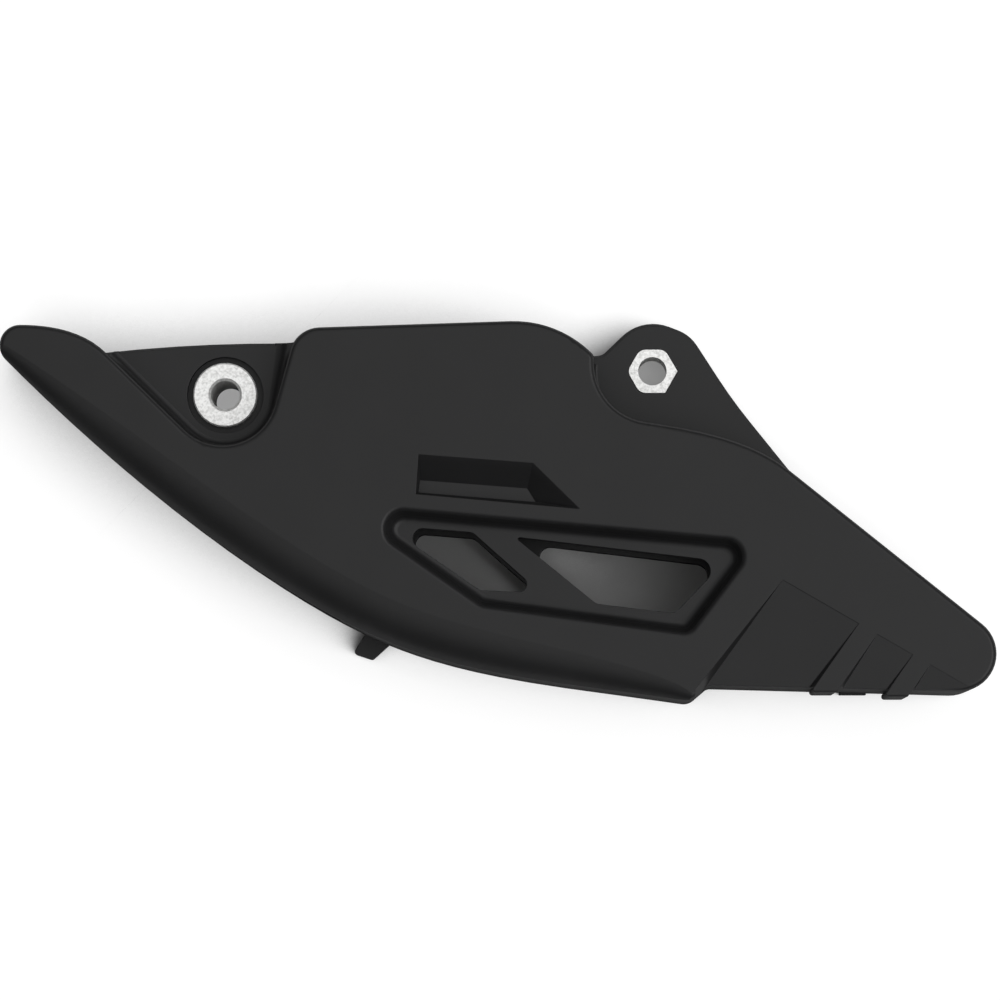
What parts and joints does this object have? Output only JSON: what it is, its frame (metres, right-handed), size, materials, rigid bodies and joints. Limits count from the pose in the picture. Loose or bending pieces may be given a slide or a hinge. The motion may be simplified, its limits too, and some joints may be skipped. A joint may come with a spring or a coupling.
{
  "type": "motorcycle chain guide",
  "caption": "Moulded chain guide with a chain tunnel, windows, a flanged front bolt collar and a hexagonal rear bolt collar.",
  "frame": {"origin": "front bolt axis at the back face, which mounts on the swingarm", "axes": "+X along the guide towards the rear wheel, +Y towards the swingarm's bolts, +Z along the bolt axis to the outside"},
  "size_m": [0.2264, 0.0877, 0.036],
  "materials": {
    "guide_plastic": "satin as moulded",
    "collar_metal": "bright turned"
  },
  "bodies": {
    "root": {"guide_body": "guide_plastic", "front_collar": "collar_metal", "rear_collar": "collar_metal"}
  },
  "joints": []
}
